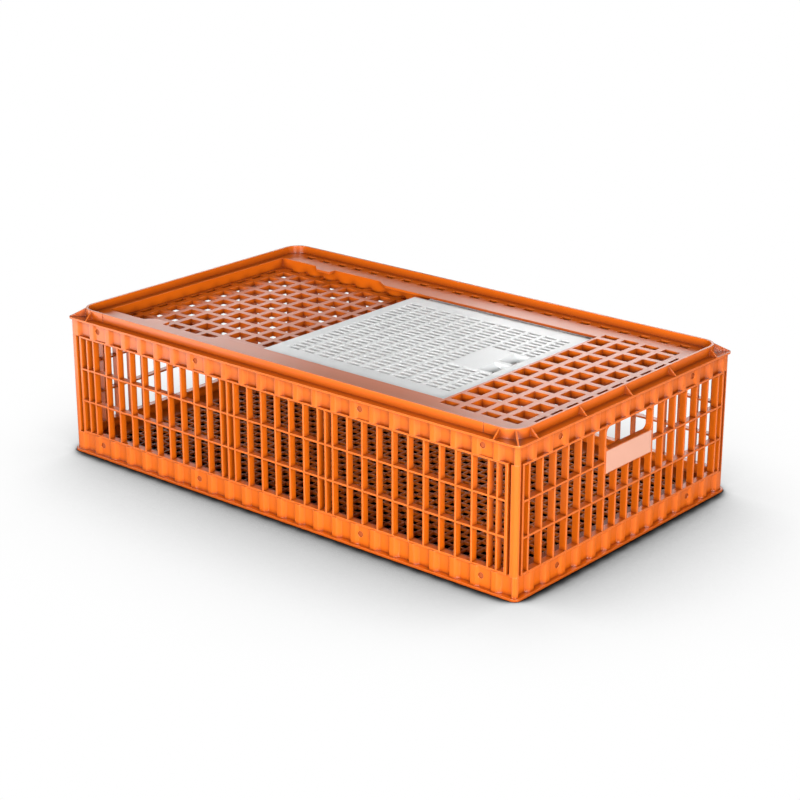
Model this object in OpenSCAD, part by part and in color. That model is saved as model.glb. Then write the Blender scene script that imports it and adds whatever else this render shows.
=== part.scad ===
// Stacking crate for carrying live poultry, with a sliding door in its roof.
// +X runs along the length, -Y is the front, +Z is up.
// The origin is the middle of the underside.

/* [Crate] */
// Length over the stacking flange
crate_l = 970; // [840:1:1150]
// Width over the stacking flange
crate_w = 575; // [500:1:700]
// Height to the top of the stacking rim
crate_h = 259; // [230:1:400]
// Target spacing of flutes and roof cells; each side is divided evenly
cell = 39.5; // [34:0.5:46]
// How far the bottom flange and the roof lip stand out past the fluted bands
flange_out = 4; // [2:0.5:6]
// Outer radius of the four upright corners
corner_r = 7; // [5:0.5:10]

/* [Fluted bands] */
// Depth of a flute
flute_depth = 6.5; // [4:0.5:8]
// Flat width of the tooth between two flutes
tooth_flat = 10.5; // [6:0.5:14]
// Radius of the tooth's leading edge
tooth_r = 2.5; // [1:0.1:2.7]
// Width of the curve that runs from a tooth into its flute
tooth_curve = 7; // [3:0.5:9]
// Wall left behind a flute
band_wall = 2.5; // [2:0.1:4]
// Depth of the flat boss that fills a flute at a pin
boss_depth = 2.8; // [2:0.1:4]

/* [Base] */
// Thickness of the bottom flange
flange_t = 4; // [3:0.5:6]
// Height of the base up to the foot of the walls
base_h = 36.7; // [32:0.1:50]
// Underside of the floor, which clears the rim of a crate below
floor_z = 16.5; // [16:0.1:18]
// Thickness of the floor
floor_t = 4.5; // [3:0.5:6]
// Width of a bar in the floor grid
floor_bar = 4; // [3:0.5:10]

/* [Grille walls] */
// Depth of the grilles, front to back
grille_depth = 12; // [9:0.5:16]
// Thickness of an upright rib
rib_t = 3; // [2:0.5:5]
// Thickness of a horizontal rail
rail_t = 3; // [2:0.5:5]
// Rib spacing in the long walls
long_pitch = 30.5; // [26:0.5:36]
// Rib spacing in the end walls
end_pitch = 31.8; // [28:0.2:36]
// Setback of the long walls behind the bands
long_setback = 1; // [0.5:0.5:2]
// Rows of openings in a grille
wall_rows = 3; // [2:1:4]
// Distance from a long wall's last rib to the end wall
post_gap = 7; // [5:0.5:9]
// Thickness of the web that closes that distance at the back
post_web = 2; // [1.5:0.5:6]
// Width of a corner post along the end wall
post_w = 16.5; // [14:0.5:22]
// Depth of the upright groove in a corner post
groove_d = 4; // [2:0.5:6]
// Width of the upright groove in a corner post
groove_w = 6; // [3:0.5:6.5]
// Width of the tongues that enter the base and the roof
tongue_w = 24; // [16:1:28]
// Thickness of a tongue
tongue_t = 2.8; // [2:0.1:3.5]

/* [Handles] */
// Height of the hand hole
hand_h = 37.7; // [32:0.1:44]
// Corner radius of the hand hole
hand_r = 10; // [6:1:14]
// Height of the smooth plate under the hand hole
plate_h = 38; // [25:1:50]
// Thickness of that plate
plate_t = 3; // [2:0.5:5]

/* [Roof] */
// Height of the stacking rim above the ledge around it
rim_h = 15.3; // [12:0.1:16]
// Distance from the lip's edge to the stacking rim
rim_inset = 14.8; // [14.4:0.1:17]
// Thickness of the stacking rim
rim_t = 4; // [3:0.5:6]
// Outer corner radius of the stacking rim
rim_r = 30; // [20:1:40]
// Thickness of the lip
lip_t = 3; // [2:0.5:5]
// Height of the fluted skirt below the lip
skirt_h = 28.7; // [26:0.1:40]
// Height of the roof deck above the ledge
deck_step = 1.8; // [0.5:0.1:2.5]
// Thickness of the roof deck and of the door guides
deck_t = 4; // [3:0.5:5]
// Depth of the fixed roof grid
grid_depth = 12; // [8:0.5:16]
// Width of a bar in the roof grids
roof_bar = 11; // [8:0.5:14]
// Columns of cells in the fixed roof grid
fixed_cols = 4; // [3:1:5]
// Rows of full cells across the roof
roof_rows = 10; // [8:2:10]
// Thickness of the gussets that brace the rim
gusset_t = 2.5; // [2:0.5:4]
// How far a gusset ends below the rim's top
gusset_drop = 0.5; // [0.3:0.1:2]
// Spacing of the gussets along the ends
gusset_pitch = 120; // [90:1:122]
// Distance of the long sides' gussets from the crate's ends
gusset_end = 47; // [45:1:60]
// Distance of the seams in the long rims from the crate's ends
seam_end = 76; // [70:1:90]
// Width of a seam
seam_w = 1.2; // [0.8:0.1:2]
// Depth of a seam
seam_d = 0.8; // [0.4:0.1:1.2]
// Width of the slots inside the rim
slot_w = 13; // [8:0.5:14]
// Length of the slots inside the rim
slot_l = 21; // [14:0.5:26]
// Distance from the rim's inner face to those slots
slot_in = 12; // [8:0.5:13]

/* [Door bay] */
// Depth of the bay below the roof deck
bay_depth = 18; // [16:0.5:20]
// Thickness of the bay floor
bay_floor_t = 8.5; // [6:0.5:10]
// Thickness of the bay walls
bay_wall = 3; // [2:0.5:4]
// Columns of cells in the bay floor
bay_cols = 9; // [7:1:9]
// Overhang of the door guides
guide_over = 16; // [14:0.5:22]
// Distance from the back of the bay to the start of the door guides
guide_x = 237; // [200:1:260]
// Length of the curve at the start of a guide
guide_curve = 34; // [20:1:50]
// Distance from the back of the bay to the guide tabs
tab_x = 82; // [60:1:100]
// Length of a guide tab
tab_l = 50; // [45:1:60]
// Length of the curve at the start of a tab
tab_curve = 22; // [10:1:30]
// Width of the ledge that carries the door's runners
ledge_w = 27; // [20:0.5:30]
// Width of the sill under the door's latch end
sill_w = 24; // [20:0.5:24.5]

/* [Door] */
// Length of the door
door_l = 386; // [375:1:400]
// Thickness of the door panel
door_t = 6.5; // [5:0.5:8]
// Distance from a guide's edge to the raised panel of the door
panel_gap = 7.75; // [5:0.25:12]
// Thickness of the flanges beside that panel
side_t = 2; // [1.5:0.1:3]
// Width of the lip along the outer edge of a flange
lip_w = 4; // [3:0.5:6]
// Distance from the open end of the door to the start of its flanges
side_lead = 20; // [10:1:30]
// Thickness of the runners under the door
runner_t = 4; // [3:0.5:6]
// Spacing of the slots along the door
door_pitch = 32.15; // [28:0.05:33]
// Spacing of the slot rows across the door
row_pitch = 13.5; // [12.5:0.1:15]
// Length of a slot
door_slot_l = 25.5; // [18:0.5:26]
// Width of a slot
door_slot_w = 8; // [5:0.5:9]
// Plain margin at the open end of the door
door_margin = 22; // [15:1:25]
// Number of slot rows
door_rows = 24; // [16:2:24]
// Shortest slot that is still cut at the closed end
least_slot = 15; // [8:1:18]
// Least web between a slot and the latch
door_web = 2; // [1.5:0.1:2.2]

/* [Latch] */
// Length of the latch tongue
latch_l = 86; // [70:1:95]
// Width of the latch tongue
latch_w = 108; // [80:1:120]
// Width of the door's margin past the latch
latch_margin = 23.5; // [18:0.5:30]
// How far the latch pad stands above the door
latch_rise = 0.8; // [0.4:0.1:1.5]
// Radius of a finger scoop
scoop_r = 36; // [30:1:45]
// Depth of a finger scoop
scoop_depth = 11.5; // [8:0.5:11.5]
// Width of a finger scoop
scoop_w = 43; // [26:1:48]
// Width of the ridge between the scoops
ridge_w = 10; // [6:1:14]
// Size of the drain hole in a scoop
drain = 7; // [4:0.5:8]

/* [Pins] */
// Number of flutes between a corner and the outer pin of a long side
outer_count = 1; // [1:1:3]
// Number of flutes between a corner and the inner pin of a long side
inner_count = 7; // [5:1:8]
// Number of flutes between a corner and the pin of an end
end_count = 2; // [1:1:4]
// Diameter of a pin's shank
pin_d = 6; // [4:0.5:6.5]
// Diameter of a pin's head
head_d = 9.5; // [7:0.5:10]
// Thickness of a pin's head
head_t = 1.5; // [1:0.1:2]
// How far a head sits below the face of its boss
head_sink = 1.2; // [0.2:0.1:1.5]
// Height of the lower pins
low_pin_z = 22; // [21:0.1:24]
// Depth of the upper pins below the lip
high_pin_drop = 12.7; // [10:0.1:14]

/* [Fits] */
// Clearance between a tongue and the band in front of it
tongue_gap = 0.2; // [0.1:0.05:0.4]
// Clearance between a long wall and the end walls
wall_gap = 0.8; // [0.4:0.1:1]
// Radial clearance of a pin in its bores
pin_gap = 0.05; // [0.02:0.01:0.1]
// Clearance above and below the door
door_gap = 0.3; // [0.2:0.1:0.6]
// Clearance at each side of the door
side_gap = 2; // [1:0.5:4]
// Clearance at the closed end of the door
end_gap = 0.5; // [0.3:0.1:1]
// Clearance at the sides of the latch
latch_gap = 0.5; // [0.3:0.1:1]
// Clearance at the free end of the latch
swing_gap = 1.5; // [1.3:0.1:3]

/* [Hidden] */
$fn = 48;
orange = "darkorange";
white = "whitesmoke";
curve_steps = 4;
cut = 1;

// Plan of the bands: half sizes at the teeth and at the inner face
band_x = crate_l / 2 - flange_out;
band_y = crate_w / 2 - flange_out;
skin = flute_depth + band_wall;
inner_x = band_x - skin;
inner_y = band_y - skin;
run_x = 2 * (band_x - corner_r);
run_y = 2 * (band_y - corner_r);
cells_x = round(run_x / cell);
cells_y = round(run_y / cell);
ux = run_x / cells_x;
uy = run_y / cells_y;
function x_at(i) = i * ux - run_x / 2;
function y_at(j) = j * uy - run_y / 2;

// Heights
ledge_z = crate_h - rim_h;
deck_z = ledge_z + deck_step;
skirt_z = ledge_z - lip_t - skirt_h;
guide_z = deck_z - deck_t;
bay_z = deck_z - bay_depth;
bay_under = bay_z - bay_floor_t;
high_pin_z = ledge_z - lip_t - high_pin_drop;

// Pins: the cells that hold one, along the front and along the right end
long_pins = [outer_count, inner_count, cells_x - 1 - inner_count, cells_x - 1 - outer_count];
end_pins = [end_count, cells_y - 1 - end_count];
tongue_in = skin + tongue_gap;
tongue_foot = floor_z;
tongue_top = high_pin_z + pin_d;

// Grille walls
wall_h = skirt_z - base_h;
long_face = band_y - long_setback;
end_back = band_x - grille_depth;
long_half = end_back - post_gap;
end_half = band_y - post_w;
rail_pitch = (wall_h - rail_t) / wall_rows;
end_ribs = floor((end_half - 2 * rib_t) / end_pitch);
long_ribs = floor((long_half - long_pitch - rib_t) / long_pitch);
hand_half = 2 * end_pitch - rib_t / 2;
hand_z = skirt_z - rail_t - hand_h;

// Roof and door bay
rim_x = crate_l / 2 - rim_inset;
rim_y = crate_w / 2 - rim_inset;
bay_x0 = x_at(0.5);
bay_x1 = x_at(cells_x - 1 - fixed_cols);
bay_y = (roof_rows / 2 + 0.5) * uy;
guide_y = bay_y - guide_over;
panel_w = 2 * (guide_y - panel_gap);
hatch_x0 = x_at(1 + bay_cols) + roof_bar / 2;
hatch_x1 = bay_x1 - sill_w;
hatch_y = bay_y - ledge_w;

// Door and latch
door_x1 = bay_x1 - end_gap;
door_x0 = door_x1 - door_l;
door_y = bay_y - side_gap;
door_z1 = guide_z - door_gap;
door_z0 = door_z1 - door_t;
runner_z = bay_z + door_gap;
runner_y = (roof_rows / 2) * uy;
slot_end = door_x1 - latch_margin + swing_gap / 2;
door_cols = floor((slot_end - door_x0 - door_margin - least_slot) / door_pitch) + 1;
latch_x1 = door_x1 - latch_margin - swing_gap;
latch_x0 = latch_x1 - latch_l;
latch_z0 = runner_z + door_gap;

function turned(points) = [for (p = points) [-p[0], -p[1]]];

// One tooth and flute: distance along the band and depth behind its face
function flute(pitch, depth, edge) = concat(
    edge > 0 ? [for (a = [0 : 90 / (curve_steps - 1) : 90]) edge * [1 - cos(a), 1 - sin(a)]] : [[0, 0]],
    [[tooth_flat, 0]],
    [for (k = [1 : curve_steps])
        [tooth_flat + tooth_curve * k / curve_steps, depth * (1 - cos(180 * k / curve_steps)) / 2]],
    [[pitch, depth]]
);

function is_in(i, list) = len([for (v = list) if (v == i) v]) > 0;
function depth_at(i, pins) = is_in(i, pins) ? boss_depth : flute_depth;
function front_flutes() = [for (i = [0 : cells_x - 1])
    for (p = flute(ux, depth_at(i, long_pins), i > 0 ? tooth_r : 0)) [x_at(i) + p[0], p[1] - band_y]];
function backward(points) = [for (i = [len(points) - 1 : -1 : 0]) points[i]];
function right_flutes() = [for (j = [0 : cells_y - 1])
    for (p = backward(flute(uy, depth_at(j, end_pins), j < cells_y - 1 ? tooth_r : 0)))
        [band_x - p[1], y_at(j + 1) - p[0]]];
function corner_arc() = [for (a = [-90 : 90 / curve_steps : 0])
    [run_x / 2 + corner_r * cos(a), corner_r * sin(a) - run_y / 2]];
function other_corner() = [for (a = [0 : 90 / curve_steps : 90])
    [run_x / 2 + corner_r * cos(a), run_y / 2 + corner_r * sin(a)]];
function half_band() = concat(front_flutes(), corner_arc(), right_flutes(), other_corner());

module rounded(l, w, r) {
    square([l - 2 * r, w], center = true);
    square([l, w - 2 * r], center = true);
    for (sx = [-1, 1], sy = [-1, 1])
        translate([sx * (l / 2 - r), sy * (w / 2 - r)]) circle(r);
}

module band_plan() {
    difference() {
        polygon(concat(half_band(), turned(half_band())));
        square([2 * inner_x, 2 * inner_y], center = true);
    }
}

// Puts children at each pin of one side, with local +Z pointing into the crate
module at_front_pins(z) {
    for (i = long_pins) translate([x_at(i + 0.5), -band_y, z]) rotate([-90, 0, 0]) children();
}

module at_right_pins(z) {
    for (j = end_pins) translate([band_x, y_at(j + 0.5), z]) rotate([0, -90, 0]) children();
}

module at_all_pins(z) {
    for (turn = [0, 180]) rotate([0, 0, turn]) {
        at_front_pins(z) children();
        at_right_pins(z) children();
    }
}

module pin_bore() {
    translate([0, 0, -cut]) cylinder(d = pin_d + 2 * pin_gap, h = skin + 2 * cut);
    translate([0, 0, -cut]) cylinder(d = head_d + 2 * pin_gap, h = boss_depth + head_sink + head_t + cut);
}

module pin() {
    translate([0, 0, boss_depth + head_sink]) {
        cylinder(d = head_d, h = head_t);
        cylinder(d = pin_d, h = tongue_in + tongue_t - boss_depth - head_sink);
    }
}

// Plan of the tongues' seats, with room all round
module tongue_seats() {
    seat_w = tongue_w + 2 * tongue_gap;
    seat_t = tongue_t + 2 * tongue_gap + band_wall / 2;
    for (turn = [0, 180]) rotate(turn) {
        for (i = long_pins)
            translate([x_at(i + 0.5) - seat_w / 2, -inner_y - band_wall / 2]) square([seat_w, seat_t]);
        for (j = end_pins)
            translate([inner_x + band_wall / 2 - seat_t, y_at(j + 0.5) - seat_w / 2])
                square([seat_t, seat_w]);
    }
}

module floor_plan() {
    difference() {
        square([2 * inner_x + band_wall, 2 * inner_y + band_wall], center = true);
        for (i = [1 : cells_x - 2], j = [1 : cells_y - 2])
            translate([x_at(i + 0.5), y_at(j + 0.5)])
                square([ux - floor_bar, uy - floor_bar], center = true);
        tongue_seats();
    }
}

module base_tray() {
    color(orange) difference() {
        union() {
            linear_extrude(flange_t) difference() {
                rounded(crate_l, crate_w, corner_r + flange_out);
                square([2 * inner_x, 2 * inner_y], center = true);
            }
            translate([0, 0, flange_t]) linear_extrude(base_h - flange_t) band_plan();
            translate([0, 0, floor_z]) linear_extrude(floor_t) floor_plan();
        }
        at_all_pins(low_pin_z) pin_bore();
    }
}

// Openings of a grille between the listed rib centres, in rows between the rails
module grille_gaps(ribs) {
    for (k = [0 : len(ribs) - 2], row = [0 : wall_rows - 1])
        translate([ribs[k] + rib_t / 2, base_h + rail_t + row * rail_pitch])
            square([ribs[k + 1] - ribs[k] - rib_t, rail_pitch - rail_t]);
}

// Two tongues that stand above and below a grille, in its own plane
module tongues(centre) {
    translate([centre - tongue_w / 2, tongue_foot]) square([tongue_w, base_h + rail_t - tongue_foot]);
    translate([centre - tongue_w / 2, skirt_z - rail_t]) square([tongue_w, tongue_top - skirt_z + rail_t]);
}

// Rib centres of one half of a long wall: full steps, with an extra rib near the middle and one at the end
function long_half_ribs() = concat(
    [for (k = [0 : 3]) k * long_pitch],
    [3.5 * long_pitch],
    [for (k = [4 : long_ribs]) k * long_pitch],
    [(long_ribs * long_pitch + long_half - rib_t) / 2, long_half - rib_t]
);

module long_wall() {
    ribs = concat([for (r = backward(long_half_ribs())) if (r > 0) -r], long_half_ribs());
    back = long_face - grille_depth;
    return_x = long_half - wall_gap;
    difference() {
        union() {
            translate([0, -back, 0]) rotate([90, 0, 0]) linear_extrude(grille_depth) difference() {
                translate([-long_half, base_h]) square([2 * long_half, wall_h]);
                grille_gaps(ribs);
            }
            for (i = long_pins)
                translate([0, tongue_in + tongue_t - band_y, 0]) rotate([90, 0, 0])
                    linear_extrude(tongue_t) tongues(x_at(i + 0.5));
            for (x = [-return_x - post_gap, return_x])
                translate([x, -back - post_web, base_h]) cube([post_gap, post_web, wall_h]);
        }
        for (z = [low_pin_z, high_pin_z]) at_front_pins(z) cylinder(d = pin_d + 2 * pin_gap, h = 2 * skin);
    }
}

module post_plan() {
    difference() {
        intersection() {
            translate([end_back, end_half]) square([grille_depth, post_w]);
            union() {
                translate([end_back, end_half]) square([grille_depth - corner_r, post_w]);
                translate([end_back, end_half]) square([grille_depth, post_w - corner_r]);
                translate([band_x - corner_r, band_y - corner_r]) circle(corner_r);
            }
        }
        translate([band_x - groove_d, band_y - corner_r - groove_w]) square([groove_d + cut, groove_w]);
    }
}

module hand_hole() {
    translate([0, hand_z + hand_h / 2]) rounded(2 * hand_half, hand_h, hand_r);
}

module end_grille() {
    ribs = [for (k = [-end_ribs : end_ribs]) k * end_pitch];
    last = [end_ribs * end_pitch, end_half + rib_t / 2];
    difference() {
        union() {
            difference() {
                translate([-end_half - cut, base_h]) square([2 * (end_half + cut), wall_h]);
                grille_gaps(ribs);
                grille_gaps(last);
                mirror([1, 0]) grille_gaps(last);
            }
            translate([-hand_half, hand_z - rail_t]) square([2 * hand_half, skirt_z - hand_z]);
        }
        hand_hole();
    }
}

module end_wall() {
    difference() {
        union() {
            translate([end_back, 0, 0]) rotate([90, 0, 90]) linear_extrude(grille_depth) end_grille();
            translate([band_x - plate_t, -hand_half - rib_t / 2, hand_z - plate_h])
                cube([plate_t, 2 * hand_half + rib_t, plate_h]);
            translate([0, 0, base_h]) linear_extrude(wall_h) {
                post_plan();
                mirror([0, 1]) post_plan();
            }
            for (j = end_pins)
                translate([band_x - tongue_in - tongue_t, 0, 0]) rotate([90, 0, 90])
                    linear_extrude(tongue_t) tongues(y_at(j + 0.5));
        }
        for (z = [low_pin_z, high_pin_z]) at_right_pins(z) cylinder(d = pin_d + 2 * pin_gap, h = 2 * skin);
    }
}

// Holes of the fixed grid and of the bay floor: full cells, and half cells at the grid's edge
module roof_cells(first, last) {
    hole = [ux - roof_bar, uy - roof_bar];
    half_hole = uy / 2 - roof_bar / 2;
    for (i = [first : last]) {
        for (j = [-roof_rows / 2 : roof_rows / 2 - 1])
            translate([x_at(i + 0.5), (j + 0.5) * uy]) square(hole, center = true);
        for (s = [-1, 1])
            translate([x_at(i + 0.5), s * (bay_y - half_hole / 2)])
                square([hole[0], half_hole], center = true);
    }
}

// Half cells that close the grid at one end, centred on x
module end_cells(x, width) {
    for (j = [-roof_rows / 2 : roof_rows / 2 - 1])
        translate([x, (j + 0.5) * uy]) square([width, uy - roof_bar], center = true);
}

module rim_slots() {
    for (i = [1 : cells_x - 2], s = [-1, 1])
        translate([x_at(i + 0.5), s * (rim_y - rim_t - slot_in - slot_w / 2)])
            square([slot_l, slot_w], center = true);
}

// S-curve that leads from the bay's side out to the edge of a guide
function lead_in(x, length) = [for (k = [0 : 1 / (2 * curve_steps) : 1])
    [bay_x0 + x + length * k, bay_y - guide_over * (1 - cos(180 * k)) / 2]];

// Outline of the bay seen from above, between its door guides
function guide_edge() = concat(
    [[bay_x0, bay_y]],
    lead_in(tab_x, tab_curve),
    [[bay_x0 + tab_x + tab_l, guide_y], [bay_x0 + tab_x + tab_l, bay_y]],
    lead_in(guide_x, guide_curve),
    [[bay_x1, guide_y]]
);

module bay_mouth() {
    polygon(concat(guide_edge(), [for (p = backward(guide_edge())) [p[0], -p[1]]]));
}

module bay_plan(wall) {
    translate([bay_x0 - wall, -bay_y - wall]) square([bay_x1 - bay_x0 + 2 * wall, 2 * (bay_y + wall)]);
}

module deck_plan() {
    edge_x = x_at(cells_x - 1) + roof_bar / 2;
    edge_w = (rim_x - rim_t - edge_x - roof_bar / 2) / 2;
    difference() {
        rounded(2 * rim_x - rim_t, 2 * rim_y - rim_t, rim_r - rim_t / 2);
        bay_mouth();
        roof_cells(cells_x - 1 - fixed_cols, cells_x - 2);
        end_cells(edge_x + edge_w / 2, edge_w);
        rim_slots();
    }
}

module grid_plan() {
    difference() {
        translate([bay_x1, -bay_y - bay_wall])
            square([x_at(cells_x - 1) + roof_bar / 2 - bay_x1, 2 * (bay_y + bay_wall)]);
        roof_cells(cells_x - 1 - fixed_cols, cells_x - 2);
    }
}

module bay_floor_plan() {
    half_w = x_at(1) - bay_x0 - roof_bar / 2 - rib_t;
    difference() {
        bay_plan(bay_wall);
        roof_cells(1, bay_cols);
        end_cells(bay_x0 + rib_t + half_w / 2, half_w);
        translate([hatch_x0, -hatch_y]) square([hatch_x1 - hatch_x0, 2 * hatch_y]);
    }
}

// A thin triangular brace whose long edge falls from the rim to the lip
module gusset(reach) {
    rotate([90, 0, 0]) translate([0, 0, -gusset_t / 2]) linear_extrude(gusset_t)
        polygon([[0, 0], [reach, 0], [rim_t / 4, rim_h - gusset_drop], [0, rim_h - gusset_drop]]);
}

module gussets() {
    reach = rim_inset + rim_t / 2;
    end_steps = floor((rim_y - rim_r) / gusset_pitch);
    diagonal = (rim_r - rim_t / 2) * (1 - sqrt(0.5)) + reach - (corner_r + flange_out) * (1 - sqrt(0.5));
    for (turn = [0, 180]) rotate([0, 0, turn]) translate([0, 0, ledge_z]) {
        for (k = [-end_steps : end_steps])
            translate([rim_x - rim_t / 2, k * gusset_pitch, 0]) gusset(reach);
        for (s = [-1, 1]) {
            translate([s * (crate_l / 2 - gusset_end), -rim_y + rim_t / 2, 0])
                rotate([0, 0, -90]) gusset(reach);
            translate([rim_x - rim_r, s * (rim_y - rim_r), 0]) rotate([0, 0, s * 45])
                translate([rim_r - rim_t / 2, 0, 0]) gusset(diagonal * sqrt(2));
        }
    }
}

module roof() {
    color(orange) difference() {
        union() {
            translate([0, 0, skirt_z]) linear_extrude(skirt_h) band_plan();
            translate([0, 0, ledge_z - lip_t]) linear_extrude(lip_t) difference() {
                rounded(crate_l, crate_w, corner_r + flange_out);
                rounded(2 * (rim_x - rim_t), 2 * (rim_y - rim_t), rim_r - rim_t);
            }
            translate([0, 0, guide_z]) linear_extrude(crate_h - guide_z) difference() {
                rounded(2 * rim_x, 2 * rim_y, rim_r);
                rounded(2 * (rim_x - rim_t), 2 * (rim_y - rim_t), rim_r - rim_t);
            }
            translate([0, 0, guide_z]) linear_extrude(deck_t) deck_plan();
            translate([0, 0, deck_z - grid_depth]) linear_extrude(grid_depth - deck_t) grid_plan();
            translate([0, 0, bay_under]) linear_extrude(bay_floor_t) bay_floor_plan();
            translate([0, 0, bay_z]) linear_extrude(guide_z - bay_z) difference() {
                bay_plan(bay_wall);
                bay_plan(0);
            }
            gussets();
        }
        at_all_pins(high_pin_z) pin_bore();
        for (sx = [-1, 1], sy = [-1, 1])
            translate([sx * (crate_l / 2 - seam_end), sy * rim_y, ledge_z + rim_h / 2 + cut / 2])
                cube([seam_w, 2 * seam_d, rim_h + cut], center = true);
    }
}

// Slot positions along the door, as a distance from its open end
function slot_x(k) = door_margin + k * door_pitch;

module latch_window() {
    translate([latch_x0, -latch_w / 2 - latch_gap])
        square([latch_l + swing_gap, latch_w + 2 * latch_gap]);
}

module door_slots() {
    for (k = [0 : door_cols - 1], j = [0 : door_rows - 1]) {
        y = (j - (door_rows - 1) / 2) * row_pitch;
        x = door_x0 + slot_x(k);
        near_y = abs(y) < latch_w / 2 + latch_gap + door_web + door_slot_w / 2;
        near_x = x + door_slot_l > latch_x0 - door_web;
        if (!(near_x && near_y))
            translate([x, y - door_slot_w / 2])
                square([min(door_slot_l, slot_end - x), door_slot_w]);
    }
}

module door_plan() {
    difference() {
        union() {
            translate([door_x0, -panel_w / 2]) square([door_l, panel_w]);
            translate([door_x0 + side_lead, -door_y]) square([door_l - side_lead, 2 * door_y]);
        }
        door_slots();
        latch_window();
    }
}

// The raised panel, and beside it a low flange with a lip that runs under the guide
module sliding_door() {
    channel = door_y - lip_w - panel_w / 2;
    channel_z = door_z0 + side_t + door_t / 2;
    color(white) {
        difference() {
            translate([0, 0, door_z0]) linear_extrude(door_t) door_plan();
            for (s = [-1, 1])
                translate([door_x0 + door_l / 2, s * (panel_w + channel) / 2, channel_z])
                    cube([door_l + 2 * cut, channel, door_t], center = true);
        }
        for (s = [-1, 1])
            translate([door_x0 + side_lead, s * runner_y - runner_t / 2, runner_z])
                cube([door_l - side_lead, runner_t, door_z0 - runner_z]);
    }
}

// Side view of the latch: a thin root that thickens towards its free end
module latch_side() {
    root = latch_l / 4;
    polygon([
        [0, door_z0], [0, door_z1 + latch_rise], [latch_l, door_z1 + latch_rise], [latch_l, latch_z0],
        [latch_l - 2 * root, latch_z0], [root, door_z0]
    ]);
}

module door_latch() {
    top = door_z1 + latch_rise;
    color(white) translate([latch_x0, 0, 0]) difference() {
        translate([0, latch_w / 2, 0]) rotate([90, 0, 0]) linear_extrude(latch_w) latch_side();
        for (s = [-1, 1]) {
            translate([latch_l - rib_t, s * (ridge_w + scoop_w) / 2, top + scoop_r - scoop_depth])
                rotate([90, 0, 0]) cylinder(r = scoop_r, h = scoop_w, center = true);
            translate([latch_l - 2 * drain, s * (ridge_w + scoop_w + drain) / 2, latch_z0])
                cube([drain, 2 * drain, 2 * door_t], center = true);
        }
    }
}

module front_pins(z) {
    color(orange) at_front_pins(z) pin();
}

module right_pins(z) {
    color(orange) at_right_pins(z) pin();
}

base_tray();
color(orange) long_wall();  // front_wall
color(orange) rotate([0, 0, 180]) long_wall();  // rear_wall
color(orange) rotate([0, 0, 180]) end_wall();  // left_end_wall
color(orange) end_wall();  // right_end_wall
roof();
sliding_door();
door_latch();
front_pins(high_pin_z);  // front_top_pins
front_pins(low_pin_z);  // front_bottom_pins
rotate([0, 0, 180]) front_pins(high_pin_z);  // rear_top_pins
rotate([0, 0, 180]) front_pins(low_pin_z);  // rear_bottom_pins
rotate([0, 0, 180]) right_pins(high_pin_z);  // left_top_pins
rotate([0, 0, 180]) right_pins(low_pin_z);  // left_bottom_pins
right_pins(high_pin_z);  // right_top_pins
right_pins(low_pin_z);  // right_bottom_pins
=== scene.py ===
"""Looks of a stacking crate for live poultry: finishes, moulded edges, fine floor grid and studio.

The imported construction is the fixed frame. Every length is in metres in that frame: +X runs along the
crate, -Y is the front and +Z is up.
"""

from __future__ import annotations

import logging
import math
from dataclasses import dataclass, field
from enum import Enum
from typing import ClassVar

import bmesh
import bpy
from mathutils import Euler, Matrix, Vector


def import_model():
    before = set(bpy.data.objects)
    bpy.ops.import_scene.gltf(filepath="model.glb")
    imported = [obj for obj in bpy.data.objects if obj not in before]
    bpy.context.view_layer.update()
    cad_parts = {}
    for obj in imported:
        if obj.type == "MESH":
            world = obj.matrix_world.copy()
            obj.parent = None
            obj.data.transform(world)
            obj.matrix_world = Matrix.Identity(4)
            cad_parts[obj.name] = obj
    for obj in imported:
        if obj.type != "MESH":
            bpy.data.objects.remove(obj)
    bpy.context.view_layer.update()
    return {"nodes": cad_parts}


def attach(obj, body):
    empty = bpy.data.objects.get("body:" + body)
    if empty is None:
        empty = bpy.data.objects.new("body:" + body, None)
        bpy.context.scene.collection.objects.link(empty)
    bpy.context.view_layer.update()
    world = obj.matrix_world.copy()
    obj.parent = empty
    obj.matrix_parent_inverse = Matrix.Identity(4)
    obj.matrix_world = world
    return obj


LOG = logging.getLogger("crate")
MM = 0.001
MIX_SHARE, MIX_FIRST, MIX_SECOND, MIX_COLOUR = 0, 6, 7, 2
Colour = tuple[float, float, float]
Corners = tuple[tuple[float, float, float], tuple[float, float, float]]


class Slot(Enum):
    """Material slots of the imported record."""

    ORANGE = "orange_plastic"
    WHITE = "white_plastic"


class Body(Enum):
    """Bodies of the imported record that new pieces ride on."""

    CRATE = "crate"


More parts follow.
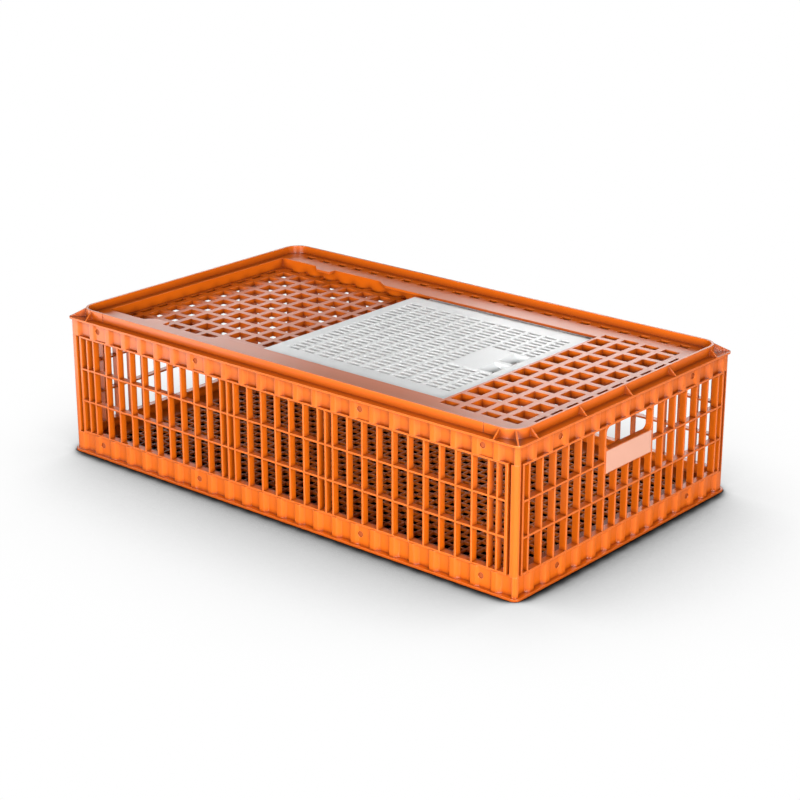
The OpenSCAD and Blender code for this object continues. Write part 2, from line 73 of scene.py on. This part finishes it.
@dataclass(frozen=True)
class MouldedPlastic:
    """Satin injection-moulded plastic with faint flow mottling, a fine spark-eroded grain, painted edge
    highlights and painted corner shade.

    Attributes:
        name: Name of the material.
        colour: Main colour, linear.
        flow_colour: Colour of the faint flow streaks, linear.
        roughness: Roughness of the smoothest spots.
        rougher: Roughness of the dullest spots.
        specular: Specular level of the surface.
        grain: Height of the grain.
        grain_scale: Grains per metre.
        flow_scale: Flow streaks per metre.
        soft_edge: Radius over which the light softens at an edge.
        milky: Share of the light that scatters below the surface.
        milky_depth: Depth of that scattering.
        edge_highlight_colour: Colour of the painted highlight on the outer edges, linear.
        edge_highlight_share: How far the outer edges take that painted highlight.
        painted_corner_shade: Share of the colour that painted shade takes away in inner corners.
        corner_reach: Distance over which the painted shade of an inner corner reaches.
    """

    FLOW_DETAIL: ClassVar[float] = 4.0
    FLOW_STOPS: ClassVar[tuple[float, float]] = (0.3, 0.7)
    GRAIN_DETAIL: ClassVar[float] = 2.0
    GRAIN_STRENGTH: ClassVar[float] = 0.6
    EDGE_SAMPLES: ClassVar[int] = 6
    # Painted edge highlight: how far the bevelled normal bends, and the open cover over which it shows.
    EDGE_BEND: ClassVar[tuple[float, float]] = (1.0, 0.8)
    OUTER_COVER: ClassVar[tuple[float, float]] = (0.75, 0.95)
    # Painted corner shade: AO samples, the cover at which it is darkest, and how much more green and blue it
    # takes than red.
    CORNER_SAMPLES: ClassVar[int] = 8
    CORNER_COVER: ClassVar[float] = 0.5
    CORNER_WARMTH: ClassVar[Colour] = (0.0, 0.4, 0.8)

    name: str
    colour: Colour
    flow_colour: Colour
    roughness: float = 0.28
    rougher: float = 0.34
    specular: float = 0.5
    grain: float = 0.02 * MM
    grain_scale: float = 900.0
    flow_scale: float = 9.0
    soft_edge: float = 1.5 * MM
    milky: float = 0.0
    milky_depth: float = 5 * MM
    edge_highlight_colour: Colour = (0.9, 0.42, 0.25)
    edge_highlight_share: float = 0.0
    painted_corner_shade: float = 0.0
    corner_reach: float = 7 * MM

    def material(self) -> bpy.types.Material:
        """Builds the node material.

        Returns:
            The finished material.
        """
        material = bpy.data.materials.new(self.name)
        material.use_nodes = True
        tree = material.node_tree
        shader = tree.nodes["Principled BSDF"]
        shader.inputs["Specular IOR Level"].default_value = self.specular
        shader.inputs["Subsurface Weight"].default_value = self.milky
        shader.inputs["Subsurface Radius"].default_value = (1.0, 1.0, 1.0)
        shader.inputs["Subsurface Scale"].default_value = self.milky_depth
        place = tree.nodes.new("ShaderNodeTexCoord")
        flow = self._noise(tree, place, self.flow_scale, self.FLOW_DETAIL)
        grain = self._noise(tree, place, self.grain_scale, self.GRAIN_DETAIL)
        tint = tree.nodes.new("ShaderNodeValToRGB")
        shades = (self.flow_colour, self.colour)
        for stop, position, shade in zip(tint.color_ramp.elements, self.FLOW_STOPS, shades):
            stop.position = position
            stop.color = (*shade, 1.0)
        sheen = tree.nodes.new("ShaderNodeMapRange")
        sheen.inputs["To Min"].default_value = self.roughness
        sheen.inputs["To Max"].default_value = self.rougher
        relief = tree.nodes.new("ShaderNodeBump")
        relief.inputs["Strength"].default_value = self.GRAIN_STRENGTH
        relief.inputs["Distance"].default_value = self.grain
        soft = tree.nodes.new("ShaderNodeBevel")
        soft.samples = self.EDGE_SAMPLES
        soft.inputs["Radius"].default_value = self.soft_edge
        links = tree.links
        links.new(soft.outputs["Normal"], relief.inputs["Normal"])
        links.new(flow.outputs["Fac"], tint.inputs["Fac"])
        links.new(self._edges(tree, tint.outputs["Color"], soft), shader.inputs["Base Color"])
        links.new(flow.outputs["Fac"], sheen.inputs["Value"])
        links.new(sheen.outputs["Result"], shader.inputs["Roughness"])
        links.new(grain.outputs["Fac"], relief.inputs["Height"])
        links.new(relief.outputs["Normal"], shader.inputs["Normal"])
        return material

    def _edges(
        self, tree: bpy.types.NodeTree, colour: bpy.types.NodeSocket, soft: bpy.types.Node
    ) -> bpy.types.NodeSocket:
        """Paints a highlight on the outer edges and paints shade into the inner corners.

        Args:
            tree: Node tree that gets the nodes.
            colour: Colour of the flat surface.
            soft: Bevel node of the material.

        Returns:
            The colour with its painted edge highlights and painted corner shade.
        """
        here = tree.nodes.new("ShaderNodeNewGeometry")
        agree = tree.nodes.new("ShaderNodeVectorMath")
        agree.operation = "DOT_PRODUCT"
        bend = tree.nodes.new("ShaderNodeMapRange")
        bend.inputs["From Min"].default_value, bend.inputs["From Max"].default_value = self.EDGE_BEND
        # One AO look serves both painted marks: open outer edges get the painted highlight, covered inner corners
        # the painted shade.
        cover = tree.nodes.new("ShaderNodeAmbientOcclusion")
        cover.samples = self.CORNER_SAMPLES
        cover.inputs["Distance"].default_value = self.corner_reach
        outer = tree.nodes.new("ShaderNodeMapRange")
        outer.inputs["From Min"].default_value, outer.inputs["From Max"].default_value = self.OUTER_COVER
        outer.inputs["To Max"].default_value = self.edge_highlight_share
        share = tree.nodes.new("ShaderNodeMath")
        share.operation = "MULTIPLY"
        # Painted highlight: the edge colour mixed in on open edges.
        light = tree.nodes.new("ShaderNodeMix")
        light.data_type = "RGBA"
        light.inputs[MIX_SECOND].default_value = (*self.edge_highlight_colour, 1.0)
        # Painted shade: a warm darkening ramp that multiplies the colour in inner corners.
        corner = tree.nodes.new("ShaderNodeValToRGB")
        kept = 1.0 - self.painted_corner_shade
        warmed = [kept * (1.0 - self.painted_corner_shade * lost) for lost in self.CORNER_WARMTH]
        corner.color_ramp.elements[0].color = (*warmed, 1.0)
        corner.color_ramp.elements[0].position = self.CORNER_COVER
        painted_shade = tree.nodes.new("ShaderNodeMix")
        painted_shade.data_type = "RGBA"
        painted_shade.blend_type = "MULTIPLY"
        painted_shade.inputs[MIX_SHARE].default_value = 1.0
        links = tree.links
        links.new(soft.outputs["Normal"], agree.inputs[0])
        links.new(here.outputs["True Normal"], agree.inputs[1])
        links.new(agree.outputs["Value"], bend.inputs["Value"])
        links.new(cover.outputs["AO"], outer.inputs["Value"])
        links.new(bend.outputs["Result"], share.inputs[0])
        links.new(outer.outputs["Result"], share.inputs[1])
        links.new(share.outputs["Value"], light.inputs[MIX_SHARE])
        links.new(colour, light.inputs[MIX_FIRST])
        links.new(cover.outputs["AO"], corner.inputs["Fac"])
        links.new(light.outputs[MIX_COLOUR], painted_shade.inputs[MIX_FIRST])
        links.new(corner.outputs["Color"], painted_shade.inputs[MIX_SECOND])
        return painted_shade.outputs[MIX_COLOUR]

    @staticmethod
    def _noise(tree: bpy.types.NodeTree, place: bpy.types.Node, scale: float, detail: float) -> bpy.types.Node:
        """Adds a noise texture on Object coordinates.

        Args:
            tree: Node tree that gets the texture.
            place: Texture Coordinate node.
            scale: Features per metre.
            detail: Octaves of detail.

        Returns:
            The noise node.
        """
        noise = tree.nodes.new("ShaderNodeTexNoise")
        noise.inputs["Scale"].default_value = scale
        noise.inputs["Detail"].default_value = detail
        tree.links.new(place.outputs["Object"], noise.inputs["Vector"])
        return noise


@dataclass(frozen=True)
class ShadedPlastic(MouldedPlastic):
    """The same plastic with a duller gloss and painted shade, a darker colour, wherever it lies inside a low box.

    Attributes:
        half: Half length and half width of the field.
        top: Height below which the field lies.
        shade: Share of the colour that the field keeps under its painted shade.
        gloss: Specular level of the field.
    """

    half: tuple[float, float] = (471 * MM, 273.5 * MM)
    top: float = 21.5 * MM
    shade: float = 0.5
    gloss: float = 0.1

    def material(self) -> bpy.types.Material:
        """Builds the plain material and lays the field's painted shade and duller gloss over it.

        Returns:
            The finished material.
        """
        material = super().material()
        tree = material.node_tree
        shader = tree.nodes["Principled BSDF"]
        inside = self._field(tree)
        # Painted shade: the field's colour is multiplied by its shade.
        painted_shade = tree.nodes.new("ShaderNodeMix")
        painted_shade.data_type = "RGBA"
        painted_shade.blend_type = "MULTIPLY"
        painted_shade.inputs[MIX_SECOND].default_value = (*(self.shade,) * 3, 1.0)
        gloss = tree.nodes.new("ShaderNodeMapRange")
        gloss.inputs["To Min"].default_value = self.specular
        gloss.inputs["To Max"].default_value = self.gloss
        links = tree.links
        links.new(inside, painted_shade.inputs[MIX_SHARE])
        links.new(shader.inputs["Base Color"].links[0].from_socket, painted_shade.inputs[MIX_FIRST])
        links.new(painted_shade.outputs[MIX_COLOUR], shader.inputs["Base Color"])
        links.new(inside, gloss.inputs["Value"])
        links.new(gloss.outputs["Result"], shader.inputs["Specular IOR Level"])
        return material

    def _field(self, tree: bpy.types.NodeTree) -> bpy.types.NodeSocket:
        """Marks the field.

        Args:
            tree: Node tree that gets the nodes.

        Returns:
            A socket that is 1 in the field and 0 elsewhere.
        """
        place = tree.nodes.new("ShaderNodeTexCoord")
        parts = tree.nodes.new("ShaderNodeSeparateXYZ")
        tree.links.new(place.outputs["Object"], parts.inputs["Vector"])
        marks = []
        for axis, limit in zip("XYZ", (*self.half, self.top)):
            size = tree.nodes.new("ShaderNodeMath")
            size.operation = "ABSOLUTE"
            mark = tree.nodes.new("ShaderNodeMath")
            mark.operation = "LESS_THAN"
            mark.inputs[1].default_value = limit
            tree.links.new(parts.outputs[axis], size.inputs[0])
            tree.links.new(size.outputs["Value"], mark.inputs[0])
            marks.append(mark.outputs["Value"])
        joined = marks[0]
        for mark in marks[1:]:
            both = tree.nodes.new("ShaderNodeMath")
            both.operation = "MULTIPLY"
            tree.links.new(joined, both.inputs[0])
            tree.links.new(mark, both.inputs[1])
            joined = both.outputs["Value"]
        return joined


@dataclass(frozen=True)
class MouldedEdge:
    """The small radius that a mould leaves on every edge, made with live modifiers.

    Attributes:
        radius: Edge radius.
        steps: Segments of the radius.
        weld: Distance at which loose corners join.
        flat: Angle up to which faces count as one flat face.
        sharp: Angle from which an edge is rounded.
    """

    radius: float = 0.6 * MM
    steps: int = 2
    weld: float = 0.002 * MM
    flat: float = math.radians(0.5)
    sharp: float = math.radians(35)

    def dress(self, piece: bpy.types.Object) -> None:
        """Adds the modifiers to one piece.

        Args:
            piece: Mesh object to round.
        """
        weld = piece.modifiers.new("weld", "WELD")
        weld.merge_threshold = self.weld
        flat = piece.modifiers.new("flat", "DECIMATE")
        flat.decimate_type = "DISSOLVE"
        flat.angle_limit = self.flat
        round_edge = piece.modifiers.new("edge", "BEVEL")
        round_edge.width = self.radius
        round_edge.segments = self.steps
        round_edge.limit_method = "ANGLE"
        round_edge.angle_limit = self.sharp
        round_edge.profile = 0.5
        round_edge.material = -1
        even = piece.modifiers.new("even", "WEIGHTED_NORMAL")
        even.keep_sharp = False


def blocks(name: str, boxes: list[Corners], radius: float) -> bpy.types.Object:
    """Makes one mesh of rounded blocks.

    Args:
        name: Name of the piece.
        boxes: Lowest and highest corner of each block.
        radius: Radius of the blocks' edges.

    Returns:
        The new object, at the origin.
    """
    shape = bmesh.new()
    for low, high in boxes:
        size = Vector(high) - Vector(low)
        place = Matrix.Translation((Vector(low) + Vector(high)) / 2) @ Matrix.Diagonal((*size, 1.0))
        bmesh.ops.create_cube(shape, size=1.0, matrix=place)
    bmesh.ops.bevel(
        shape, geom=shape.edges[:], offset=radius, affect="EDGES", segments=2, profile=0.5, material=-1
    )
    mesh = bpy.data.meshes.new(name)
    shape.to_mesh(mesh)
    shape.free()
    piece = bpy.data.objects.new(name, mesh)
    bpy.context.scene.collection.objects.link(piece)
    return piece


@dataclass
class Moulding:
    """Carried-over construction nodes that share a finish and an edge radius.

    Attributes:
        nodes: All construction nodes by name.
        finish: Material of the nodes.
        edge: Edge radius of the nodes.
    """

    names: ClassVar[tuple[str, ...]] = ()

    nodes: dict[str, bpy.types.Object]
    finish: bpy.types.Material
    edge: MouldedEdge = field(default_factory=MouldedEdge)

    def build(self) -> None:
        """Gives each node its finish and rounded edges, then adds the sub-assembly's own pieces."""
        for name in self.names:
            node = self.nodes[name]
            node.data.materials.clear()
            node.data.materials.append(self.finish)
            self.edge.dress(node)
            LOG.info("dressed %s", name)
        self.add_pieces()

    def add_pieces(self) -> None:
        """Adds pieces that the construction leaves out; a plain moulding has none."""

    def carry(self, piece: bpy.types.Object, finish: bpy.types.Material, slot: Slot) -> None:
        """Finishes a new piece and lets it ride on the crate.

        Args:
            piece: New mesh object.
            finish: Its material.
            slot: Material slot of the record that it belongs to; not used.
        """
        piece.data.materials.append(finish)
        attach(piece, Body.CRATE.value)
        LOG.info("added %s", piece.name)


@dataclass
class BaseTray(Moulding):
    """Fluted base with its floor, whose grid has a fine bar in the middle of every cell.

    Attributes:
        run: Length and width that the cells divide.
        cells: Number of cells along and across.
        bar: Width of a fine bar.
        low: Underside of the fine bars.
        high: Top of the fine bars that run across the crate.
        step: How far the bars along the crate lie below the others.
        bar_edge: Edge radius of the fine bars.
    """

    names: ClassVar[tuple[str, ...]] = ("base_tray",)

    run: tuple[float, float] = (948 * MM, 553 * MM)
    cells: tuple[int, int] = (24, 14)
    bar: float = 3.6 * MM
    low: float = 16.8 * MM
    high: float = 20.8 * MM
    step: float = 0.15 * MM
    bar_edge: float = 0.6 * MM

    def add_pieces(self) -> None:
        """Adds the fine bars of the floor grid."""
        end_x, end_y = self._line(0, 1), self._line(1, 1)
        half = self.bar / 2
        across = [
            ((x - half, end_y, self.low), (x + half, -end_y, self.high)) for x in self._middles(0)
        ]
        along = [
            ((end_x, y - half, self.low), (-end_x, y + half, self.high - self.step)) for y in self._middles(1)
        ]
        piece = blocks("floor_bars", across + along, self.bar_edge)
        self.carry(piece, self.finish, Slot.ORANGE)

    def _line(self, axis: int, place: float) -> float:
        """Finds a line of the grid.

        Args:
            axis: 0 along the crate, 1 across it.
            place: Number of cells from the low end.

        Returns:
            The coordinate of that line.
        """
        return self.run[axis] * (place / self.cells[axis] - 0.5)

    def _middles(self, axis: int) -> list[float]:
        """Lists the middles of the open cells.

        Args:
            axis: 0 along the crate, 1 across it.

        Returns:
            The coordinate of each middle.
        """
        return [self._line(axis, cell + 0.5) for cell in range(1, self.cells[axis] - 1)]


@dataclass
class GrilleWalls(Moulding):
    """Four grille walls; the plate under each hand hole has a paler, duller field.

    Attributes:
        plate_finish: Material of the paler fields.
        face: Distance of the end walls' faces from the middle of the crate.
        half: Half width of a plate.
        low: Foot of a plate.
        high: Top of a plate.
        skin: Thickness of the field.
    """

    names: ClassVar[tuple[str, ...]] = ("front_wall", "rear_wall", "left_end_wall", "right_end_wall")

    plate_finish: bpy.types.Material | None = None
    face: float = 481 * MM
    half: float = 61.2 * MM
    low: float = 134.2 * MM
    high: float = 170.4 * MM
    skin: float = 0.25 * MM

    def add_pieces(self) -> None:
        """Adds the paler fields."""
        for name, side in (("right_plate_field", 1), ("left_plate_field", -1)):
            inner, outer = sorted((side * (self.face - self.skin), side * (self.face + self.skin)))
            field_box = ((inner, -self.half, self.low), (outer, self.half, self.high))
            self.carry(blocks(name, [field_box], self.skin / 2), self.plate_finish, Slot.ORANGE)


@dataclass
class Roof(Moulding):
    """Roof deck with its stacking rim and the door bay."""

    names: ClassVar[tuple[str, ...]] = ("roof",)


@dataclass
class SlidingDoor(Moulding):
    """White slotted door that slides in the roof's bay."""

    names: ClassVar[tuple[str, ...]] = ("sliding_door",)


@dataclass
class DoorLatch(Moulding):
    """White spring tongue of the door with its finger scoops."""

    names: ClassVar[tuple[str, ...]] = ("door_latch",)


@dataclass
class WallPins(Moulding):
    """Headed pins that join the walls to the base and to the roof."""

    names: ClassVar[tuple[str, ...]] = tuple(
        f"{side}_{height}_pins" for side in ("front", "rear", "left", "right") for height in ("top", "bottom")
    )


@dataclass(frozen=True)
class SoftBox:
    """A rectangular soft box or reflector card.

    Attributes:
        name: Name of the lamp.
        place: Where its middle hangs.
        size: Width and height of its face.
        watts: Power.
        lights: Whether it lights the scene, rather than only showing in reflections.
        shines: Whether it shows in reflections.
    """

    name: str
    place: tuple[float, float, float]
    size: tuple[float, float]
    watts: float
    lights: bool = True
    shines: bool = True

    def hang(self, target: Vector) -> None:
        """Adds the lamp, aimed at the target.

        Args:
            target: Point that the lamp faces.
        """
        data = bpy.data.lights.new(self.name, "AREA")
        data.shape = "RECTANGLE"
        data.size, data.size_y = self.size
        data.energy = self.watts
        lamp = bpy.data.objects.new(self.name, data)
        lamp.location = self.place
        lamp.rotation_euler = (target - Vector(self.place)).to_track_quat("-Z", "Y").to_euler()
        lamp.visible_camera = False
        lamp.visible_diffuse = self.lights
        lamp.visible_glossy = self.shines
        bpy.context.scene.collection.objects.link(lamp)
        LOG.info("hung %s", self.name)


@dataclass
class Studio:
    """Plain white floor, soft light and the camera of the photograph.

    Attributes:
        eye: Camera place.
        turn: Camera azimuth from the front, towards +X.
        dip: Camera elevation.
        lens: Focal length in millimetres.
        sensor: Sensor width in millimetres.
        floor_half: Half size of the floor.
        floor_grey: Reflectance of the floor.
        surround: Strength of the white surround.
        mirrored: Level at which reflections show the floor.
        lean: Direction that the wide shadow leans to.
        shadow: Places and levels of the wide soft shadow's ramp.
        contact: Places and levels of the narrow contact shadow's ramp.
        shadow_reach: Reach of the wide shadow.
        contact_reach: Reach of the contact shadow.
        target: Point that the lamps face.
        lamps: Soft boxes and cards.
    """

    COVER_SAMPLES: ClassVar[int] = 32

    eye: tuple[float, float, float] = (2.0691, -2.4133, 1.2583)
    turn: float = math.radians(40.34)
    dip: float = math.radians(19.62)
    lens: float = 90.0
    sensor: float = 36.0
    floor_half: float = 14.0
    floor_grey: float = 0.8
    surround: float = 0.12
    mirrored: float = 0.5
    lean: tuple[float, float, float] = (-0.09, 0.045, 0.995)
    shadow: tuple[tuple[float, float], ...] = (
        (0.30, 0.0), (0.46, 0.10), (0.52, 0.42), (0.59, 0.60), (0.72, 0.78), (0.86, 0.96), (0.92, 1.0),
    )
    contact: tuple[tuple[float, float], ...] = ((0.5, 0.0), (0.64, 0.06), (0.73, 0.32), (0.83, 0.85), (0.94, 1.0))
    shadow_reach: float = 1.2
    contact_reach: float = 0.042
    target: tuple[float, float, float] = (0.0, 0.0, 0.12)
    lamps: tuple[SoftBox, ...] = (
        SoftBox("right_key", (2.55, -1.35, 0.75), (1.2, 0.8), 100.0),
        SoftBox("front_key", (0.5, -2.85, 0.75), (1.2, 0.8), 100.0),
        SoftBox("top", (0.0, 0.3, 3.3), (2.4, 2.4), 20.0),
        SoftBox("back_card", (-1.15, 2.5, 1.14), (1.0, 1.2), 13.0),
        SoftBox("side_card", (-2.75, 1.95, 1.12), (0.9, 1.2), 9.0),
        SoftBox("low_card", (-0.75, -0.55, 0.1), (0.6, 0.24), 1.5, lights=False),
        SoftBox("rear_fill", (-1.9, 2.3, 0.9), (1.4, 1.0), 45.0, shines=False),
        SoftBox("low_back_card", (-1.95, 2.3, 0.95), (0.8, 0.55), 1.8),
    )

    def build(self) -> None:
        """Makes the floor, the lights, the surround and the camera."""
        self._camera()
        self._floor()
        self._world()
        for lamp in self.lamps:
            lamp.hang(Vector(self.target))

    def _camera(self) -> None:
        """Places the camera."""
        data = bpy.data.cameras.new("camera")
        data.lens = self.lens
        data.sensor_width = self.sensor
        camera = bpy.data.objects.new("camera", data)
        camera.location = self.eye
        camera.rotation_euler = Euler((math.pi / 2 - self.dip, 0.0, self.turn))
        bpy.context.scene.collection.objects.link(camera)
        bpy.context.scene.camera = camera

    def _floor(self) -> None:
        """Lays the white floor."""
        shape = bmesh.new()
        bmesh.ops.create_grid(shape, x_segments=1, y_segments=1, size=self.floor_half)
        mesh = bpy.data.meshes.new("studio_floor")
        shape.to_mesh(mesh)
        shape.free()
        mesh.materials.append(self._floor_material())
        floor = bpy.data.objects.new("studio_floor", mesh)
        bpy.context.scene.collection.objects.link(floor)

    def _floor_material(self) -> bpy.types.Material:
        """Makes a matt floor that the camera and reflections see as white with a soft shadow.

        Returns:
            The floor's material.
        """
        material = bpy.data.materials.new("studio_floor")
        material.use_nodes = True
        tree = material.node_tree
        tree.nodes.remove(tree.nodes["Principled BSDF"])
        matt = tree.nodes.new("ShaderNodeBsdfDiffuse")
        matt.inputs["Color"].default_value = (self.floor_grey,) * 3 + (1.0,)
        wide = self._shade(tree, self.shadow_reach, self.shadow, self.lean)
        narrow = self._shade(tree, self.contact_reach, self.contact, (0.0, 0.0, 1.0))
        both = tree.nodes.new("ShaderNodeMix")
        both.data_type = "RGBA"
        both.blend_type = "MULTIPLY"
        both.inputs[MIX_SHARE].default_value = 1.0
        paper = tree.nodes.new("ShaderNodeEmission")
        path = tree.nodes.new("ShaderNodeLightPath")
        seen = tree.nodes.new("ShaderNodeMath")
        seen.operation = "MAXIMUM"
        seen_through = tree.nodes.new("ShaderNodeMath")
        seen_through.operation = "MAXIMUM"
        level = tree.nodes.new("ShaderNodeMapRange")
        level.inputs["To Min"].default_value = 1.0
        level.inputs["To Max"].default_value = self.mirrored
        blend = tree.nodes.new("ShaderNodeMixShader")
        links = tree.links
        links.new(path.outputs["Is Camera Ray"], seen.inputs[0])
        links.new(path.outputs["Is Glossy Ray"], seen.inputs[1])
        links.new(seen.outputs["Value"], seen_through.inputs[0])
        links.new(path.outputs["Is Transmission Ray"], seen_through.inputs[1])
        links.new(wide.outputs["Color"], both.inputs[MIX_FIRST])
        links.new(narrow.outputs["Color"], both.inputs[MIX_SECOND])
        links.new(both.outputs[MIX_COLOUR], paper.inputs["Color"])
        links.new(path.outputs["Is Glossy Ray"], level.inputs["Value"])
        links.new(level.outputs["Result"], paper.inputs["Strength"])
        links.new(seen_through.outputs["Value"], blend.inputs["Fac"])
        links.new(matt.outputs["BSDF"], blend.inputs[1])
        links.new(paper.outputs["Emission"], blend.inputs[2])
        links.new(blend.outputs["Shader"], tree.nodes["Material Output"].inputs["Surface"])
        return material

    @staticmethod
    def _shade(
        tree: bpy.types.NodeTree,
        reach: float,
        levels: tuple[tuple[float, float], ...],
        lean: tuple[float, float, float],
    ) -> bpy.types.Node:
        """Adds a soft shadow made from how far the floor is covered.

        Args:
            tree: Node tree that gets the nodes.
            reach: Distance within which things shade the floor.
            levels: Places and grey levels of the ramp.
            lean: Direction around which the cover is looked for.

        Returns:
            The colour ramp.
        """
        cover = tree.nodes.new("ShaderNodeAmbientOcclusion")
        cover.samples = Studio.COVER_SAMPLES
        cover.inputs["Distance"].default_value = reach
        look = tree.nodes.new("ShaderNodeCombineXYZ")
        for socket, part in zip(look.inputs, lean):
            socket.default_value = part
        tree.links.new(look.outputs["Vector"], cover.inputs["Normal"])
        curve = tree.nodes.new("ShaderNodeValToRGB")
        stops = curve.color_ramp.elements
        for place, _ in levels[1:-1]:
            stops.new(place)
        for stop, (place, level) in zip(stops, levels):
            stop.position = place
            stop.color = (level, level, level, 1.0)
        tree.links.new(cover.outputs["AO"], curve.inputs["Fac"])
        return curve

    def _world(self) -> None:
        """Sets a plain white surround that the camera sees as white."""
        world = bpy.data.worlds.new("studio")
        world.use_nodes = True
        tree = world.node_tree
        ambient = tree.nodes["Background"]
        ambient.inputs["Color"].default_value = (1.0, 1.0, 1.0, 1.0)
        ambient.inputs["Strength"].default_value = self.surround
        paper = tree.nodes.new("ShaderNodeBackground")
        paper.inputs["Color"].default_value = (1.0, 1.0, 1.0, 1.0)
        path = tree.nodes.new("ShaderNodeLightPath")
        blend = tree.nodes.new("ShaderNodeMixShader")
        links = tree.links
        links.new(path.outputs["Is Camera Ray"], blend.inputs["Fac"])
        links.new(ambient.outputs["Background"], blend.inputs[1])
        links.new(paper.outputs["Background"], blend.inputs[2])
        links.new(blend.outputs["Shader"], tree.nodes["World Output"].inputs["Surface"])
        bpy.context.scene.world = world


# The edge share paints a highlight on outer edges; the corner shade paints shade into inner corners.
ORANGE = MouldedPlastic(
    "orange_plastic", (0.56, 0.106, 0.002), (0.53, 0.097, 0.002), edge_highlight_share=0.3, painted_corner_shade=0.5
)
# The roof's stronger, wider corner shade also paints the shade in its grid holes and under the rim's lip.
ROOF = MouldedPlastic(
    "roof_plastic", ORANGE.colour, ORANGE.flow_colour, edge_highlight_share=0.3, painted_corner_shade=0.6, corner_reach=14 * MM
)
# Painted shade on the floor inside the base: its colour keeps half, and its gloss is dulled there.
BASE = ShadedPlastic("base_plastic", ORANGE.colour, ORANGE.flow_colour, edge_highlight_share=0.3, painted_corner_shade=0.5)
WHITE = MouldedPlastic("white_plastic", (0.72, 0.73, 0.73), (0.695, 0.705, 0.705), specular=0.35, milky=0.8)
# The plate field is paler and duller than the wall.
PALE_PLATE = MouldedPlastic("pale_plate_orange", (0.55, 0.285, 0.205), (0.53, 0.272, 0.194), roughness=0.45, rougher=0.5)
# Painted shade in the door's slots: faces below the door's top, in its middle, keep three quarters of the white.
DOOR = ShadedPlastic(
    "door_plastic",
    WHITE.colour,
    WHITE.flow_colour,
    specular=WHITE.specular,
    milky=WHITE.milky,
    half=(0.5, 0.2),
    top=240.8 * MM,
    shade=0.75,
)
# The pins are darker than the orange to paint the shade of the dimple that each head sits in; their matt
# roughness is their own.
PIN = MouldedPlastic("pin_plastic", (0.32, 0.052, 0.001), (0.3, 0.048, 0.001), roughness=0.6, rougher=0.65)


def main() -> None:
    """Builds the dressed crate and its studio."""
    logging.basicConfig(level=logging.INFO, format="%(name)s: %(message)s")
    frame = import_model()
    nodes = frame["nodes"]
    orange = ORANGE.material()
    BaseTray(nodes, BASE.material()).build()
    GrilleWalls(nodes, orange, MouldedEdge(radius=1.1 * MM), plate_finish=PALE_PLATE.material()).build()
    Roof(nodes, ROOF.material()).build()
    SlidingDoor(nodes, DOOR.material(), MouldedEdge(radius=0.8 * MM)).build()
    DoorLatch(nodes, WHITE.material()).build()
    WallPins(nodes, PIN.material(), MouldedEdge(radius=0.3 * MM)).build()
    Studio().build()
    bpy.context.scene.view_settings.view_transform = "Standard"


if __name__ == "__main__":
    main()
